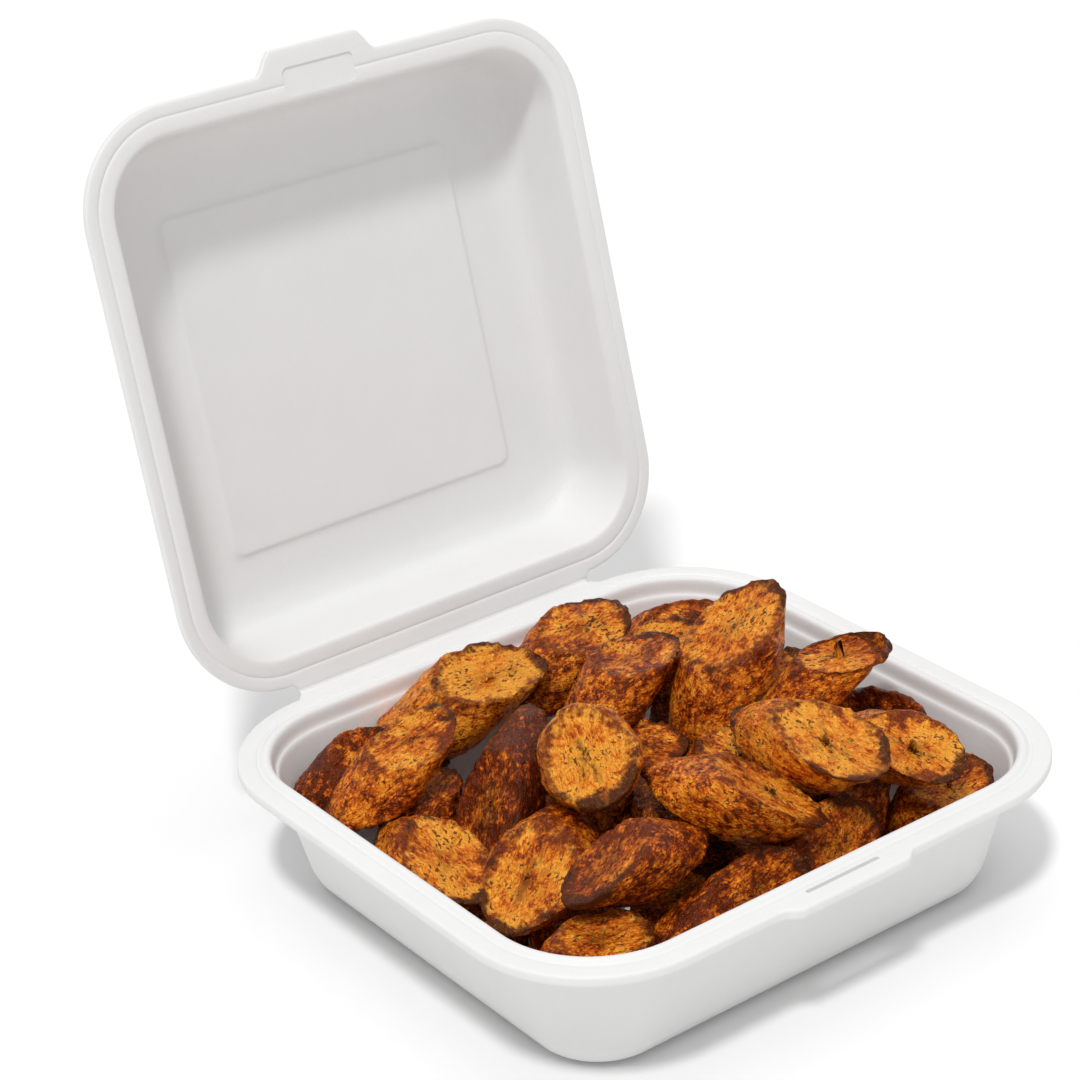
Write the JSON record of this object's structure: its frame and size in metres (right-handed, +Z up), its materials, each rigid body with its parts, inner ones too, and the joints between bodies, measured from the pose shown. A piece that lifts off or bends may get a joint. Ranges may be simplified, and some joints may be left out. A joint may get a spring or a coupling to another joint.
{
  "type": "fried plantain side",
  "caption": "Open hinged-lid takeaway box heaped with bias-cut chunks of fried ripe plantain, browned and charred at the rims.",
  "frame": {"origin": "centre of the tray's underside", "axes": "+Z up, +X along the hinge, -Y towards the latch side, +Y towards the hinge"},
  "size_m": [0.203, 0.2652, 0.2335],
  "materials": {
    "box": "matte",
    "lid": "matte",
    "plantain": "satin"
  },
  "bodies": {
    "box": {"tray": "box", "plantain_01": "plantain", "plantain_02": "plantain", "plantain_03": "plantain", "plantain_04": "plantain", "plantain_05": "plantain", "plantain_06": "plantain", "plantain_07": "plantain", "plantain_08": "plantain", "plantain_09": "plantain", "plantain_10": "plantain", "plantain_11": "plantain", "plantain_12": "plantain", "plantain_13": "plantain", "plantain_14": "plantain", "plantain_15": "plantain", "plantain_16": "plantain", "plantain_17": "plantain", "plantain_18": "plantain", "plantain_19": "plantain", "plantain_20": "plantain", "plantain_21": "plantain", "plantain_22": "plantain", "plantain_23": "plantain", "plantain_24": "plantain", "plantain_25": "plantain", "plantain_26": "plantain", "plantain_27": "plantain", "plantain_28": "plantain", "plantain_29": "plantain", "plantain_30": "plantain", "plantain_31": "plantain", "plantain_32": "plantain", "plantain_33": "plantain", "plantain_34": "plantain", "plantain_35": "plantain", "plantain_36": "plantain", "plantain_37": "plantain", "plantain_38": "plantain", "plantain_39": "plantain", "plantain_40": "plantain", "plantain_41": "plantain", "plantain_42": "plantain", "plantain_43": "plantain", "plantain_44": "plantain", "plantain_45": "plantain"},
    "lid": {"lid": "lid"}
  },
  "joints": [
    {"name": "lid_hinge", "type": "hinge", "parent": "box", "child": "lid", "pos_m": [0, 0.0977, 0.0455], "axis": [1, 0, 0], "range_deg": [-76, 104]}
  ]
}
